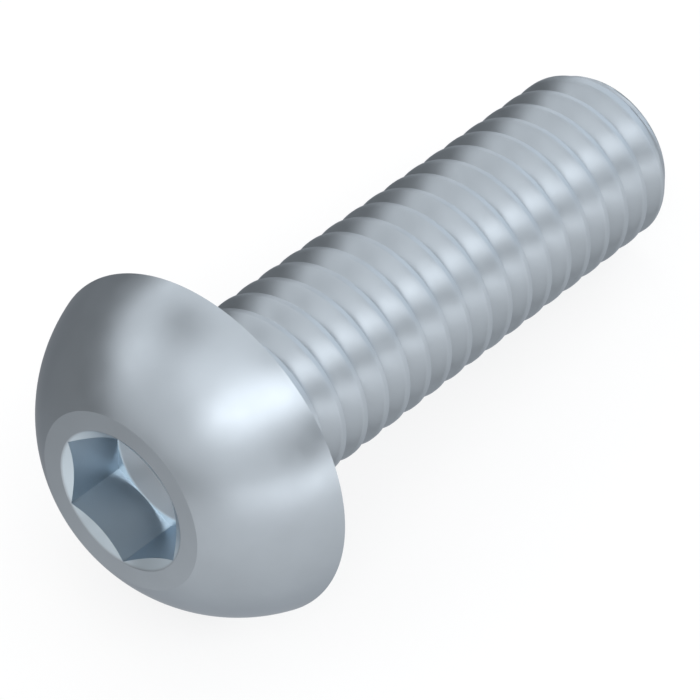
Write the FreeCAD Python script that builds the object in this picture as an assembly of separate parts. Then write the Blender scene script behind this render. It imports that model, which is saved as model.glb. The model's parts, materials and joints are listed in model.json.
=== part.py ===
"""Button head screw, M3 by 10, lying on its side as it comes to rest.

The screw is turned and cut along its own axis first: +Z is head outwards, the underside of the
head is at Z = 0 and +X runs through a corner of the hexagon socket. It is then laid down, tip
towards +X, with its lowest points at Z = 0 and the middle of its box over the origin.
All lengths are in millimetres and all angles in degrees.
"""
import FreeCAD, Part
import math
import os
from FreeCAD import Placement, Rotation, Vector

# Head
head_diameter = 5.7
head_height = 1.65
face_diameter = 2.98
dome_radius = 2.9
underhead_fillet = 0.12

# Hexagon socket: across its flats, depth of the hexagon, mouth and bottom cones
socket_across_flats = 2.0
socket_depth = 1.04
mouth_diameter = 2.34
cone_angle = 120.0

# Shank and its right-hand thread
shank_length = 9.9
thread_diameter = 2.984
pitch = 0.5
thread_angle = 60.0
crest_flat = 0.1
root_flat = 0.085
neck_length = 0.4
runout_turns = 1.0
tip_runout_turns = 1.0
tip_groove_depth = 0.15
tip_diameter = 2.61
tip_chamfer = 0.27

# How far each cutter stands out of the metal that it takes away
overcut = 0.03

# Turns about the screw's own axis, measured from +X: where the middle of the groove would meet
# the underside's plane, and how far the screw has rolled as it lies
thread_start = 179.0
lying_turn = 6.8

# Worked out from the sizes above
thread_radius = thread_diameter / 2
rim_radius = head_diameter / 2
flank_slope = math.tan(math.radians(thread_angle / 2))
groove_depth = (pitch - crest_flat - root_flat) / 2 / flank_slope


def arc_centre(start, end, radius):
    """The centre of the arc of this radius that bulges outwards from start to end."""
    chord = end - start
    across = Vector(chord.z, 0, -chord.x).normalize()
    inwards = across if across.x < 0 else across * -1
    return (start + end) / 2 + inwards * math.sqrt(radius**2 - (chord.Length / 2) ** 2)


def arc(start, end, centre):
    """The short arc from start to end about this centre."""
    middle = ((start - centre).normalize() + (end - centre).normalize()).normalize()
    return Part.Arc(start, centre + middle * (start - centre).Length, end)


def blank():
    """Head and plain shank as one turned solid, its chamfered tip down."""
    rim = Vector(rim_radius, 0, 0)
    face_edge = Vector(face_diameter / 2, 0, head_height)
    top = Vector(0, 0, head_height)
    tip = Vector(0, 0, -shank_length)
    tip_edge = Vector(tip_diameter / 2, 0, -shank_length)
    chamfer_edge = Vector(thread_radius, 0, tip_chamfer - shank_length)
    fillet_low = Vector(thread_radius, 0, -underhead_fillet)
    fillet_out = Vector(thread_radius + underhead_fillet, 0, 0)
    fillet_centre = Vector(fillet_out.x, 0, fillet_low.z)
    outline = [
        Part.LineSegment(tip, tip_edge),
        Part.LineSegment(tip_edge, chamfer_edge),
        Part.LineSegment(chamfer_edge, fillet_low),
        arc(fillet_low, fillet_out, fillet_centre),
        Part.LineSegment(fillet_out, rim),
        arc(rim, face_edge, arc_centre(rim, face_edge, dome_radius)),
        Part.LineSegment(face_edge, top),
        Part.LineSegment(top, tip),
    ]
    section = Part.Face(Part.Wire([curve.toShape() for curve in outline]))
    return section.revolve(Vector(0, 0, 0), Vector(0, 0, 1), 360)


def hexagon_prism(across_flats, bottom, height):
    """A six-sided prism along Z with one corner on +X."""
    corner_radius = across_flats / 2 / math.cos(math.pi / 6)
    corners = []
    for index in range(7):
        angle = math.radians(60 * index)
        corners.append(Vector(math.cos(angle), math.sin(angle), 0) * corner_radius)
    prism = Part.Face(Part.makePolygon(corners)).extrude(Vector(0, 0, height))
    prism.translate(Vector(0, 0, bottom))
    return prism


def cone_down(diameter, top):
    """The point of a drill of cone_angle, this wide at the height top."""
    radius = diameter / 2
    depth = radius / math.tan(math.radians(cone_angle / 2))
    return Part.makeCone(0, radius, depth, Vector(0, 0, top - depth))


def socket():
    """What the key's hole takes out: mouth cone, hexagon and drilled cone below it."""
    floor = head_height - socket_depth
    hexagon = hexagon_prism(socket_across_flats, floor, socket_depth + overcut)
    mouth_rise = overcut * 2 * math.tan(math.radians(cone_angle / 2))
    mouth = cone_down(mouth_diameter + mouth_rise, head_height + overcut)
    drilled = cone_down(socket_across_flats, floor)
    return hexagon.fuse([mouth, drilled])


def groove_section():
    """The thread groove's section in the XZ plane, its middle at zero height."""
    root_x = thread_radius - groove_depth
    mouth_x = thread_radius + overcut
    half_root = root_flat / 2
    half_mouth = half_root + (groove_depth + overcut) * flank_slope
    return Part.makePolygon([
        Vector(mouth_x, 0, -half_mouth),
        Vector(root_x, 0, -half_root),
        Vector(root_x, 0, half_root),
        Vector(mouth_x, 0, half_mouth),
        Vector(mouth_x, 0, -half_mouth),
    ])


def swept_groove(height, widening=0):
    """The groove swept up a helix of this height from zero, leaning outwards by widening."""
    helix = Part.makeHelix(pitch, height, thread_radius, widening)
    sweep = Part.BRepOffsetAPI.MakePipeShell(Part.Wire(helix.Edges))
    sweep.setFrenetMode(True)
    sweep.add(groove_section())
    sweep.build()
    sweep.makeSolid()
    return sweep.shape()


def put_on_thread(groove, height):
    """Moves a groove from zero to this height, turned to the angle that the thread has there."""
    groove.translate(Vector(0, 0, height))
    groove.rotate(Vector(0, 0, 0), Vector(0, 0, 1), thread_start + height / pitch * 360)
    return groove


def head_runout():
    """The groove's last turns under the head, where it rises out of the metal."""
    height = runout_turns * pitch
    widening = math.degrees(math.atan2(groove_depth + 2 * overcut, height))
    return put_on_thread(swept_groove(height, widening), -neck_length - height)


def tip_runout(start):
    """The groove from the height start down, shallower towards the tip and carried half a turn past it."""
    height = start + shank_length
    widening = math.degrees(math.atan2(groove_depth - tip_groove_depth, height))
    groove = swept_groove(height + pitch / 2, widening)
    groove.rotate(Vector(0, 0, 0), Vector(1, 0, 0), 180)
    return put_on_thread(groove, start)


def thread_groove():
    """The whole groove: its run-out under the head, whole turns below it and its run-out at the tip."""
    top = -neck_length - runout_turns * pitch
    whole_turns = round((shank_length + top) / pitch - tip_runout_turns)
    groove = [head_runout()]
    for turn in range(whole_turns):
        groove.append(put_on_thread(swept_groove(pitch), top - (turn + 1) * pitch))
    groove.append(tip_runout(top - whole_turns * pitch))
    return groove


def screw():
    """The finished screw, standing on its tip."""
    return blank().cut(thread_groove() + [socket()])


def lying_tilt(solid):
    """How far the axis tilts when the rim and the shank's lowest point near the tip touch the ground."""
    downwards = Rotation(Vector(0, 0, 1), 180 - lying_turn).multVec(Vector(1, 0, 0))
    tip = Vector(0, 0, -shank_length)
    corners = [tip, tip + downwards * rim_radius, downwards * rim_radius, Vector(0, 0, 0), tip]
    side = solid.common(Part.Face(Part.makePolygon(corners)))
    slopes = []
    for vertex in side.Vertexes:
        reach = vertex.Point.dot(downwards)
        if vertex.Z < -shank_length / 2:
            slopes.append((rim_radius - reach) / -vertex.Z)
    return math.degrees(math.atan(min(slopes)))


def lay_down(solid):
    """The screw on its side, tip towards +X, its lowest points on Z = 0."""
    own_turn = Rotation(Vector(0, 0, 1), lying_turn)
    fall = Rotation(Vector(0, 1, 0), lying_tilt(solid) - 90)
    lying = solid.copy()
    lying.Placement = Placement(Vector(0, 0, 0), fall * own_turn)
    box = lying.optimalBoundingBox(False)
    lying.translate(Vector(-box.Center.x, -box.Center.y, -box.ZMin))
    return lying


os.makedirs("parts", exist_ok=True)
lay_down(screw()).exportStep("parts/screw.step")
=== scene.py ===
"""Button head screw: its fine threaded mesh, zinc finish, pale floor, soft studio light and camera.

The screw is built in its own frame first: the underside of the head at Z = 0, head up and +X through
a corner of the socket. It is then laid where the frame's record has it. The lengths below are in
millimetres and the angles in degrees, and MM turns lengths into metres.
"""
import json
import math

import bmesh
import bpy
import numpy as np
from mathutils import Matrix, Vector


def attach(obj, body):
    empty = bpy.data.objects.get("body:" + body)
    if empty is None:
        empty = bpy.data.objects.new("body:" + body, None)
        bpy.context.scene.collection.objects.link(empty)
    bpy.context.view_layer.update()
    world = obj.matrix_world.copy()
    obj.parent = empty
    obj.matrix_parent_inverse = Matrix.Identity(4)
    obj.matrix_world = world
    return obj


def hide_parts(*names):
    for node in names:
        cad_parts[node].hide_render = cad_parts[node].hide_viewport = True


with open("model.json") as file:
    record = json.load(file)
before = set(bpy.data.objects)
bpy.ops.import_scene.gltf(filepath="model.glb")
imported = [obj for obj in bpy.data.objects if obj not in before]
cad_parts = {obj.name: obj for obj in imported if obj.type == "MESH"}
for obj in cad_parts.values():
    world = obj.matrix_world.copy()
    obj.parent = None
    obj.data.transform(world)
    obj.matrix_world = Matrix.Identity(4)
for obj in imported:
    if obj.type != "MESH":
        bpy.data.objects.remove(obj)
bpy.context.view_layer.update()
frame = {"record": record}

MM = 0.001

# The screw's sizes and angles, as in the CAD source
HEAD_DIAMETER = 5.7
HEAD_HEIGHT = 1.65
FACE_DIAMETER = 2.98
DOME_RADIUS = 2.9
UNDERHEAD_FILLET = 0.12
SOCKET_ACROSS_FLATS = 2.0
SOCKET_DEPTH = 1.04
MOUTH_DIAMETER = 2.34
CONE_ANGLE = 120.0
SHANK_LENGTH = 9.9
THREAD_DIAMETER = 2.984
PITCH = 0.5
THREAD_ANGLE = 60.0
CREST_FLAT = 0.1
ROOT_FLAT = 0.085
NECK_LENGTH = 0.4
RUNOUT_TURNS = 1.0
TIP_RUNOUT_TURNS = 1.0
TIP_GROOVE_DEPTH = 0.15
TIP_DIAMETER = 2.61
TIP_CHAMFER = 0.27
OVERCUT = 0.03
THREAD_START = 179.0
LYING_TURN = 6.8

# Small roundings of the thread and its chamfer that the solid lacks
CREST_ROUNDING = 0.03
ROOT_ROUNDING = 0.06
CHAMFER_ROUNDING = 0.03

# How finely the mesh follows the sizes. The columns are a multiple of 12, so that they meet the
# socket's corners and the middles of its sides
COLUMNS = 180
ROWS_PER_TURN = 20
FILLET_STEPS = 5
DOME_STEPS = 28

# Where rings lie across the flat and the conical parts, as shares of each part. The first ring of the
# drilled cone lies close to its edge, because the socket walls' painted light fades up to it
TIP_RINGS = (0, 0.3, 0.65, 1)
UNDERSIDE_RINGS = (0.33, 0.66)
FACE_RINGS = (0.5, 1)
SOCKET_RINGS = (0.2, 0.4, 0.6, 0.8, 1)
CORNER_RINGS = (0.5, 1)
DRILLED_RINGS = (0.97, 0.75, 0.5, 0.25, 0)

# Points this near are joined, edges shorter than this are taken out, and edges that turn by more than
# this stay sharp
WELD_DISTANCE = 1e-4
SHORTEST_EDGE = 1e-5
SHARP_ANGLE = 24.0

# How far the thread's shading leans from the flanks' own direction towards straight out
SOFTEN_CREST = 0.66
SOFTEN_ROOT = 0.55

# Where the shank's roughness and the socket's painted light lie: the shank's starts this far below the
# fillet, and the socket's lighter tone, painted against its shade, comes in over this depth below the
# face and ends this far below the hexagon's floor
SHANK_MARGIN = 0.01
MOUTH_FADE = 0.02
FLOOR_MARGIN = 0.001

# The zinc's tones and roughness, and how fine its unevenness and its grain are. The socket's tone is
# painted light: lighter than the zinc, to lift the shade that falls in the socket
ZINC_DARK = (0.388, 0.429, 0.47, 1)
ZINC_LIGHT = (0.412, 0.456, 0.5, 1)
ZINC_SOCKET_PAINTED_LIGHT = (0.63, 0.72, 0.79, 1)
EDGE_TINT = (0.6, 0.62, 0.65, 1)
ROUGHNESS = 0.36
ROUGHNESS_SPREAD = 0.02
THREAD_ROUGHNESS = 0.44
MOTTLES_PER_MM = 1.3
PATCHES_PER_MM = 2.5
GRAINS_PER_MM = 40.0
GRAIN_STRENGTH = 0.05
GRAIN_HEIGHT = 0.005

# Noise keeps mostly between these two values
NOISE_LOW = 0.3
NOISE_HIGH = 0.7

# The studio's soft boxes by azimuth, elevation, width and height as seen from the screw, brightness
# and tint, and how far away they stand
SOFT_BOXES = [
    ("key", -115, 54, 76, 26, 2.7),
    ("low", -94, 4, 114, 8, 3.6),
    ("fill", -20, 33, 92, 34, 1.27, (0.9, 0.98, 1.06)),
    ("far", 32, 15, 36, 28, 1.65),
    ("rear", 62, 46, 26, 52, 1.1),
    ("back", 104, 36, 54, 26, 1.15),
    ("side", 150, 40, 50, 58, 0.72),
    ("kick", -148, 25, 75, 30, 0.8),
    ("top", 0, 88, 34, 80, 0.95),
]
LAMP_DISTANCE = 250.0

# The room behind them: its brightness at the horizon and overhead, and the sine of the elevation
# from which it grows lighter
ROOM_TINT = (0.97, 0.99, 1.0, 1)
HORIZON = 0.19
ZENITH = 0.36
HORIZON_TOP = 0.1

# The floor: how far it reaches each way, and how much of the white that the camera sees doesn't
# depend on light. What the metal mirrors of it fades from white to dim between two places along Y
FLOOR_REACH = 3000.0
FLOOR_PAINT = (0.9, 0.9, 0.9, 1)
GLOW_SHARE = 0.8
MIRROR_FRONT = -8.0
MIRROR_BACK = 12.0
MIRROR_WHITE = 1.0
MIRROR_DIM = 0.36

# The camera: its place, the azimuth and elevation that it looks in from, its lens, and how near and
# how far it sees
CAMERA_PLACE = (-29.7571, -24.6829, 45.0706)
CAMERA_AZIMUTH = -139.7818
CAMERA_ELEVATION = 48.4618
FOCAL_LENGTH = 193.436
SENSOR_WIDTH = 36.0
CLIP_START = 1.0
CLIP_END = 10000.0

# Worked out from the sizes above
THREAD_RADIUS = THREAD_DIAMETER / 2
RIM_RADIUS = HEAD_DIAMETER / 2
MOUTH_RADIUS = MOUTH_DIAMETER / 2
FLANK_SLOPE = math.tan(math.radians(THREAD_ANGLE / 2))
CONE_SLOPE = math.tan(math.radians(CONE_ANGLE / 2))
GROOVE_DEPTH = (PITCH - CREST_FLAT - ROOT_FLAT) / 2 / FLANK_SLOPE


def smooth_min(first, second, blend):
    """The lesser of two values, with a round change-over this wide."""
    share = np.clip(0.5 + 0.5 * (second - first) / blend, 0, 1)
    return second * (1 - share) + first * share - blend * share * (1 - share)


def groove_height(turns):
    """Height of the groove's middle at these angles, in radians, within one pitch."""
    return (turns - math.radians(THREAD_START)) / (2 * math.pi) * PITCH


def full_depth(away):
    """Depth of the full groove at this height above or below its middle, with a rounded root."""
    flank = GROOVE_DEPTH - (np.abs(away) - ROOT_FLAT / 2) / FLANK_SLOPE
    return smooth_min(flank, GROOVE_DEPTH, ROOT_ROUNDING)


def runout_lift(middle):
    """How far the groove has risen out of the metal where its middle is this high."""
    head_end = -NECK_LENGTH - RUNOUT_TURNS * PITCH
    tip_end = TIP_RUNOUT_TURNS * PITCH - SHANK_LENGTH
    head_share = np.clip((middle - head_end) / (RUNOUT_TURNS * PITCH), 0, None)
    tip_share = np.clip((tip_end - middle) / (TIP_RUNOUT_TURNS * PITCH), 0, None)
    return (GROOVE_DEPTH + 2 * OVERCUT) * head_share + (GROOVE_DEPTH - TIP_GROOVE_DEPTH) * tip_share


def thread_surface(turns, heights):
    """Radius of the threaded and chamfered shank at these angles and heights."""
    away = (((heights - groove_height(turns)) / PITCH + 0.5) % 1.0 - 0.5) * PITCH
    depth = full_depth(away) - runout_lift(heights - away)
    depth = -smooth_min(-depth, 0, CREST_ROUNDING)
    tip_radius = TIP_DIAMETER / 2
    chamfer = tip_radius + (heights + SHANK_LENGTH) * (THREAD_RADIUS - tip_radius) / TIP_CHAMFER
    return smooth_min(THREAD_RADIUS - depth, chamfer, CHAMFER_ROUNDING)


def ring_points(turns, heights, radii):
    """Points at these angles, heights and radii, the last two for each point or for the whole ring."""
    return np.stack(np.broadcast_arrays(radii * np.cos(turns), radii * np.sin(turns), heights), -1)


def tip_rings(turns):
    """Rings from the middle of the tip's flat face out to its edge."""
    edge = thread_surface(turns, -SHANK_LENGTH)
    return [ring_points(turns, -SHANK_LENGTH, edge * share) for share in TIP_RINGS]


def thread_rings(turns):
    """Rings from the tip up to the fillet under the head, each following the thread once round."""
    top = -UNDERHEAD_FILLET
    lowest = math.floor(-SHANK_LENGTH / PITCH) - 2
    highest = math.ceil(top / PITCH) + 1
    shares = (np.arange(ROWS_PER_TURN) + 0.5) / ROWS_PER_TURN
    starts = (np.arange(lowest, highest)[:, None] + shares).reshape(-1, 1) * PITCH
    heights = np.clip(starts + groove_height(turns), -SHANK_LENGTH, top)
    return list(ring_points(turns, heights, thread_surface(turns, heights)))


def arc_centre(start, end, radius):
    """The centre of the arc of this radius that bulges outwards from start to end."""
    chord = end - start
    across = Vector((chord.y, -chord.x)).normalized()
    inwards = across if across.x < 0 else -across
    return (start + end) / 2 + inwards * math.sqrt(radius**2 - (chord.length / 2) ** 2)


def arc_points(start, end, centre, count):
    """Points along the short arc from start to end about this centre, both ends included."""
    first = math.atan2(start.y - centre.y, start.x - centre.x)
    last = math.atan2(end.y - centre.y, end.x - centre.x)
    sweep = (last - first + math.pi) % (2 * math.pi) - math.pi
    radius = (start - centre).length
    steps = [first + sweep * index / count for index in range(count + 1)]
    return [(centre.x + radius * math.cos(step), centre.y + radius * math.sin(step)) for step in steps]


def head_outline():
    """(radius, height) from the neck's fillet round the rim and the dome to the socket's mouth."""
    rim = Vector((RIM_RADIUS, 0))
    face_edge = Vector((FACE_DIAMETER / 2, HEAD_HEIGHT))
    fillet_low = Vector((THREAD_RADIUS, -UNDERHEAD_FILLET))
    fillet_out = Vector((THREAD_RADIUS + UNDERHEAD_FILLET, 0))
    fillet_centre = Vector((fillet_out.x, fillet_low.y))
    outline = arc_points(fillet_low, fillet_out, fillet_centre, FILLET_STEPS)[1:]
    outline += [(fillet_out.x + (rim.x - fillet_out.x) * share, 0) for share in UNDERSIDE_RINGS]
    outline += arc_points(rim, face_edge, arc_centre(rim, face_edge, DOME_RADIUS), DOME_STEPS)
    outline += [(face_edge.x + (MOUTH_RADIUS - face_edge.x) * share, HEAD_HEIGHT) for share in FACE_RINGS]
    return outline


def head_rings(turns):
    """Rings from the top of the shank over the head to the socket's mouth."""
    neck = ring_points(turns, -UNDERHEAD_FILLET, thread_surface(turns, -UNDERHEAD_FILLET))
    return [neck] + [ring_points(turns, height, radius) for radius, height in head_outline()]


def hexagon_radius(turns):
    """How far the socket's wall stands from the axis at these angles."""
    from_corner = (turns + math.pi / 6) % (math.pi / 3) - math.pi / 6
    return SOCKET_ACROSS_FLATS / 2 / np.cos(math.pi / 6 - np.abs(from_corner))


def socket_rings(turns):
    """Rings from the mouth down its cone and the six walls to the point of the drilled cone."""
    wall = hexagon_radius(turns)
    brow = HEAD_HEIGHT - (MOUTH_RADIUS - wall) / CONE_SLOPE
    bottom = HEAD_HEIGHT - SOCKET_DEPTH
    drilled = SOCKET_ACROSS_FLATS / 2
    rings = []
    for share in SOCKET_RINGS:
        height = HEAD_HEIGHT + (brow - HEAD_HEIGHT) * share
        rings.append(ring_points(turns, height, MOUTH_RADIUS + (wall - MOUTH_RADIUS) * share))
    for share in SOCKET_RINGS:
        rings.append(ring_points(turns, brow + (bottom - brow) * share, wall))
    for share in CORNER_RINGS:
        rings.append(ring_points(turns, bottom, wall + (drilled - wall) * share))
    for share in DRILLED_RINGS:
        rings.append(ring_points(turns, bottom - drilled * (1 - share) / CONE_SLOPE, drilled * share))
    return rings


def ring_faces(rings, points):
    """Quads between neighbouring rings of this many points."""
    ring, point = np.meshgrid(np.arange(rings - 1), np.arange(points - 1), indexing="ij")
    low = ring * points + point
    return np.stack([low, low + 1, low + 1 + points, low + points], -1).reshape(-1, 4)


def screw_axis():
    """The matrix from the screw's own frame, in millimetres, to where it lies."""
    mount = next(m for m in frame["record"]["mounts"] if m["name"] == "socket")
    head_way = Vector(mount["axis"]).normalized()
    across = Vector((0, 1, 0))
    first = across.cross(head_way).normalized()
    lying = Matrix((first, across, head_way)).transposed().to_4x4()
    face = Vector(mount["pos_m"])
    origin = face - head_way * HEAD_HEIGHT * MM
    turned = Matrix.Rotation(math.radians(LYING_TURN), 4, "Z")
    return Matrix.Translation(origin) @ lying @ turned @ Matrix.Scale(MM, 4)


def build_screw():
    """The whole screw as one closed mesh, from the middle of the tip over the head into the socket."""
    turns = np.linspace(0, 2 * math.pi, COLUMNS + 1)
    rings = tip_rings(turns) + thread_rings(turns) + head_rings(turns) + socket_rings(turns)
    mesh = bpy.data.meshes.new("screw_fine")
    mesh.from_pydata(np.concatenate(rings).tolist(), [], ring_faces(len(rings), len(turns)).tolist())
    mesh.transform(screw_axis())
    weld_and_shade(mesh)
    local = own_points(mesh)
    soften_thread(mesh, local)
    mark_shank_and_painted_socket_light(mesh, local)
    made = bpy.data.objects.new("screw_fine", mesh)
    bpy.context.scene.collection.objects.link(made)
    return made


def weld_and_shade(mesh):
    """Joins the rings' ends and what lies double, turns the faces outwards and keeps real edges sharp."""
    work = bmesh.new()
    work.from_mesh(mesh)
    bmesh.ops.remove_doubles(work, verts=work.verts, dist=WELD_DISTANCE * MM)
    bmesh.ops.dissolve_degenerate(work, edges=work.edges, dist=SHORTEST_EDGE * MM)
    bmesh.ops.recalc_face_normals(work, faces=work.faces)
    for face in work.faces:
        face.smooth = True
    sharpest = math.radians(SHARP_ANGLE)
    for edge in work.edges:
        edge.smooth = len(edge.link_faces) == 2 and edge.calc_face_angle() < sharpest
    work.to_mesh(mesh)
    work.free()


def own_points(mesh):
    """The mesh's points in the screw's own frame, in millimetres."""
    points = np.empty(len(mesh.vertices) * 3, dtype=np.float32)
    mesh.vertices.foreach_get("co", points)
    own = np.array(screw_axis().inverted())
    return points.reshape(-1, 3) @ own[:3, :3].T + own[:3, 3]


def below_fillet(local):
    """Which points lie on the shank."""
    return local[:, 2] < -UNDERHEAD_FILLET - SHANK_MARGIN


def soften_thread(mesh, local):
    """Rounds the shading across the flanks, so that light runs along the shank in one streak."""
    normals = np.empty(len(mesh.loops) * 3, dtype=np.float32)
    mesh.corner_normals.foreach_get("vector", normals)
    normals = normals.reshape(-1, 3)
    corners = np.empty(len(mesh.loops), dtype=np.int32)
    mesh.loops.foreach_get("vertex_index", corners)
    reach = np.linalg.norm(local[:, :2], axis=1)
    sideways = local[:, :2] / np.maximum(reach, SHORTEST_EDGE)[:, None]
    turned = np.array(screw_axis())[:3, :3] / MM
    outwards = np.column_stack([sideways, np.zeros(len(local))]) @ turned.T
    on_thread = below_fillet(local) & (local[:, 2] > TIP_CHAMFER - SHANK_LENGTH)
    depth = np.clip((THREAD_RADIUS - reach) / GROOVE_DEPTH, 0, 1)
    softening = SOFTEN_CREST + (SOFTEN_ROOT - SOFTEN_CREST) * depth
    share = np.where(on_thread, softening, 0)[corners][:, None]
    blended = normals * (1 - share) + outwards[corners] * share
    blended /= np.linalg.norm(blended, axis=1)[:, None]
    mesh.normals_split_custom_set(blended.tolist())


def mark_shank_and_painted_socket_light(mesh, local):
    """Marks the rougher rolled shank, and the socket's walls, lightened there as painted light against
    shade.
    """
    below_face = HEAD_HEIGHT - local[:, 2]
    painted_light_walls = below_face < SOCKET_DEPTH + FLOOR_MARGIN
    painted_light_walls &= np.linalg.norm(local[:, :2], axis=1) < MOUTH_RADIUS
    # The socket mark paints light: it lightens the walls' colour against the shade in the socket
    marks = {"shank": below_fillet(local), "socket": painted_light_walls * np.clip(below_face / MOUTH_FADE, 0, 1)}
    for name, values in marks.items():
        mark = mesh.attributes.new(name, "FLOAT", "POINT")
        mark.data.foreach_set("value", values.astype(np.float32))


def new_material(name):
    """A material, its node tree and its shader."""
    material = bpy.data.materials.new(name)
    material.use_nodes = True
    tree = material.node_tree
    return material, tree, tree.nodes["Principled BSDF"]


def add_node(tree, kind, **settings):
    """A shader node with these properties."""
    node = tree.nodes.new(kind)
    for name, value in settings.items():
        setattr(node, name, value)
    return node


def calculate(tree, operation, first, second):
    """The result of this operation on two values, each a socket or a number."""
    node = add_node(tree, "ShaderNodeMath", operation=operation)
    for value, socket in zip((first, second), node.inputs):
        if isinstance(value, bpy.types.NodeSocket):
            tree.links.new(value, socket)
        else:
            socket.default_value = value
    return node.outputs["Value"]


def carry_over(tree, value, start, end, first, last, interpolation="LINEAR"):
    """Carries a value between start and end over to the range from first to last."""
    node = add_node(tree, "ShaderNodeMapRange", interpolation_type=interpolation)
    for name, number in (("From Min", start), ("From Max", end), ("To Min", first), ("To Max", last)):
        node.inputs[name].default_value = number
    tree.links.new(value, node.inputs["Value"])
    return node.outputs["Result"]


def noise(tree, where, per_mm, detail=2.0):
    """Soft noise with this many grains per millimetre."""
    node = add_node(tree, "ShaderNodeTexNoise")
    node.inputs["Scale"].default_value = per_mm
    node.inputs["Detail"].default_value = detail
    tree.links.new(where, node.inputs["Vector"])
    return node.outputs["Fac"]


def separate_axis(tree, place, axis):
    """One of a place's three coordinates."""
    parts = add_node(tree, "ShaderNodeSeparateXYZ")
    tree.links.new(place, parts.inputs["Vector"])
    return parts.outputs[axis]


def places_in_mm(tree):
    """Each point's own place on the screw, in millimetres."""
    place = add_node(tree, "ShaderNodeTexCoord")
    per_mm = add_node(tree, "ShaderNodeVectorMath", operation="SCALE")
    per_mm.inputs["Scale"].default_value = 1 / MM
    tree.links.new(place.outputs["Object"], per_mm.inputs[0])
    return per_mm.outputs["Vector"]


def zinc_colour(tree, where):
    """Two near tones of a bluish metal in faint mottles, and a lighter one in the socket as painted
    light.
    """
    mottles = noise(tree, where, MOTTLES_PER_MM, detail=3.0)
    mottles = carry_over(tree, mottles, NOISE_LOW, NOISE_HIGH, 0.0, 1.0)
    tone = add_node(tree, "ShaderNodeMix", data_type="RGBA")
    tone.inputs["A"].default_value = ZINC_DARK
    tone.inputs["B"].default_value = ZINC_LIGHT
    tree.links.new(mottles, tone.inputs["Factor"])
    # Painted light: the socket's walls take a lighter tone, to lift the shade that falls in them
    painted_light_in_socket = add_node(tree, "ShaderNodeAttribute", attribute_name="socket")
    lighter = add_node(tree, "ShaderNodeMix", data_type="RGBA")
    lighter.inputs["B"].default_value = ZINC_SOCKET_PAINTED_LIGHT
    tree.links.new(painted_light_in_socket.outputs["Fac"], lighter.inputs["Factor"])
    tree.links.new(tone.outputs["Result"], lighter.inputs["A"])
    return lighter.outputs["Result"]


def zinc_roughness(tree, where):
    """Slightly patchy roughness, higher on the rolled shank."""
    patches = noise(tree, where, PATCHES_PER_MM)
    smoothest = ROUGHNESS - ROUGHNESS_SPREAD
    roughest = ROUGHNESS + ROUGHNESS_SPREAD
    rough = carry_over(tree, patches, NOISE_LOW, NOISE_HIGH, smoothest, roughest)
    on_shank = add_node(tree, "ShaderNodeAttribute", attribute_name="shank")
    rougher = calculate(tree, "MULTIPLY", on_shank.outputs["Fac"], THREAD_ROUGHNESS - ROUGHNESS)
    return calculate(tree, "ADD", rough, rougher)


def zinc_grain(tree, where):
    """The coating's fine grain as a slight bump."""
    bump = add_node(tree, "ShaderNodeBump")
    bump.inputs["Strength"].default_value = GRAIN_STRENGTH
    bump.inputs["Distance"].default_value = GRAIN_HEIGHT * MM
    tree.links.new(noise(tree, where, GRAINS_PER_MM), bump.inputs["Height"])
    return bump.outputs["Normal"]


def zinc():
    """Satin zinc: a bluish metal, faintly mottled, with slightly uneven roughness and a fine grain."""
    material, tree, shader = new_material("zinc_satin")
    shader.inputs["Metallic"].default_value = 1.0
    shader.inputs["Specular Tint"].default_value = EDGE_TINT
    where = places_in_mm(tree)
    tree.links.new(zinc_colour(tree, where), shader.inputs["Base Color"])
    tree.links.new(zinc_roughness(tree, where), shader.inputs["Roughness"])
    tree.links.new(zinc_grain(tree, where), shader.inputs["Normal"])
    return material


def mirrored_brightness(tree):
    """How bright the metal mirrors the floor: white in front and dim towards the back."""
    place = add_node(tree, "ShaderNodeNewGeometry")
    along = separate_axis(tree, place.outputs["Position"], "Y")
    front, back = MIRROR_FRONT * MM, MIRROR_BACK * MM
    return carry_over(tree, along, front, back, MIRROR_WHITE, MIRROR_DIM, "SMOOTHSTEP")


def floor_white():
    """A paint that reads as white, keeps the screw's shadow and is mirrored as pure glow."""
    material, tree, paint = new_material("floor_white")
    paint.inputs["Base Color"].default_value = FLOOR_PAINT
    paint.inputs["Roughness"].default_value = 1.0
    paint.inputs["Specular IOR Level"].default_value = 0.0
    rays = add_node(tree, "ShaderNodeLightPath")
    seen = rays.outputs["Is Camera Ray"]
    glossy, through = rays.outputs["Is Glossy Ray"], rays.outputs["Is Transmission Ray"]
    mirrored = calculate(tree, "MAXIMUM", glossy, through)
    share = calculate(tree, "MAXIMUM", calculate(tree, "MULTIPLY", seen, GLOW_SHARE), mirrored)
    strength = calculate(tree, "MAXIMUM", seen, mirrored_brightness(tree))
    glow = add_node(tree, "ShaderNodeEmission")
    tree.links.new(strength, glow.inputs["Strength"])
    mix = add_node(tree, "ShaderNodeMixShader")
    tree.links.new(share, mix.inputs[0])
    tree.links.new(paint.outputs[0], mix.inputs[1])
    tree.links.new(glow.outputs[0], mix.inputs[2])
    tree.links.new(mix.outputs[0], tree.nodes["Material Output"].inputs["Surface"])
    return material


def floor():
    """A plain pale floor that the screw lies on."""
    reach = FLOOR_REACH * MM
    corners = [(-reach, -reach, 0), (reach, -reach, 0), (reach, reach, 0), (-reach, reach, 0)]
    mesh = bpy.data.meshes.new("floor")
    mesh.from_pydata(corners, [], [(0, 1, 2, 3)])
    mesh.materials.append(floor_white())
    plane = bpy.data.objects.new("floor", mesh)
    bpy.context.scene.collection.objects.link(plane)


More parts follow.
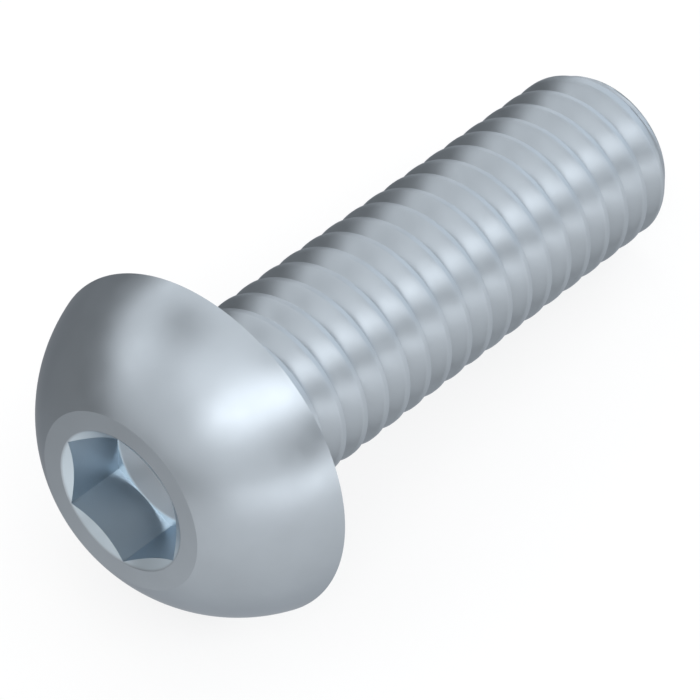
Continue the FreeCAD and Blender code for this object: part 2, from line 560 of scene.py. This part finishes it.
def room():
    """A dim studio all round, a little lighter overhead."""
    made = bpy.data.worlds.new("studio")
    made.use_nodes = True
    tree = made.node_tree
    way = add_node(tree, "ShaderNodeTexCoord")
    rise = separate_axis(tree, way.outputs["Generated"], "Z")
    strength = carry_over(tree, rise, HORIZON_TOP, 1.0, HORIZON, ZENITH, "SMOOTHSTEP")
    studio = tree.nodes["Background"]
    studio.inputs["Color"].default_value = ROOM_TINT
    tree.links.new(strength, studio.inputs["Strength"])
    bpy.context.scene.world = made


def looking_in(azimuth, elevation):
    """The turn of a lamp or camera that looks in from these angles, its own +Z pointing out."""
    turn, rise = math.radians(azimuth), math.radians(elevation)
    out = Vector((math.cos(rise) * math.cos(turn), math.cos(rise) * math.sin(turn), math.sin(rise)))
    across = Vector((-math.sin(turn), math.cos(turn), 0))
    return Matrix((across, out.cross(across), out)).transposed().to_4x4()


def soft_box(name, azimuth, elevation, width, height, brightness, tint=(1, 1, 1)):
    """An oval soft box that covers these angles as seen from the screw, and shows this bright."""
    distance = LAMP_DISTANCE * MM
    data = bpy.data.lights.new(name, "AREA")
    data.shape = "ELLIPSE"
    data.size = 2 * distance * math.tan(math.radians(width / 2))
    data.size_y = 2 * distance * math.tan(math.radians(height / 2))
    data.energy = brightness * math.pi * (math.pi / 4 * data.size * data.size_y)
    data.color = tint
    lamp = bpy.data.objects.new(name, data)
    lamp.matrix_world = looking_in(azimuth, elevation) @ Matrix.Translation((0, 0, distance))
    bpy.context.scene.collection.objects.link(lamp)


def camera():
    """The photograph's view, from above the head's side."""
    data = bpy.data.cameras.new("camera")
    data.sensor_width = SENSOR_WIDTH
    data.lens = FOCAL_LENGTH
    data.clip_start = CLIP_START * MM
    data.clip_end = CLIP_END * MM
    made = bpy.data.objects.new("camera", data)
    turned = looking_in(CAMERA_AZIMUTH, CAMERA_ELEVATION)
    made.matrix_world = Matrix.Translation(Vector(CAMERA_PLACE) * MM) @ turned
    bpy.context.scene.collection.objects.link(made)
    bpy.context.scene.camera = made


piece = build_screw()
piece.data.materials.append(zinc())
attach(piece, "root")
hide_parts("screw")
floor()
room()
for box in SOFT_BOXES:
    soft_box(*box)
camera()
bpy.context.scene.view_settings.view_transform = "Standard"
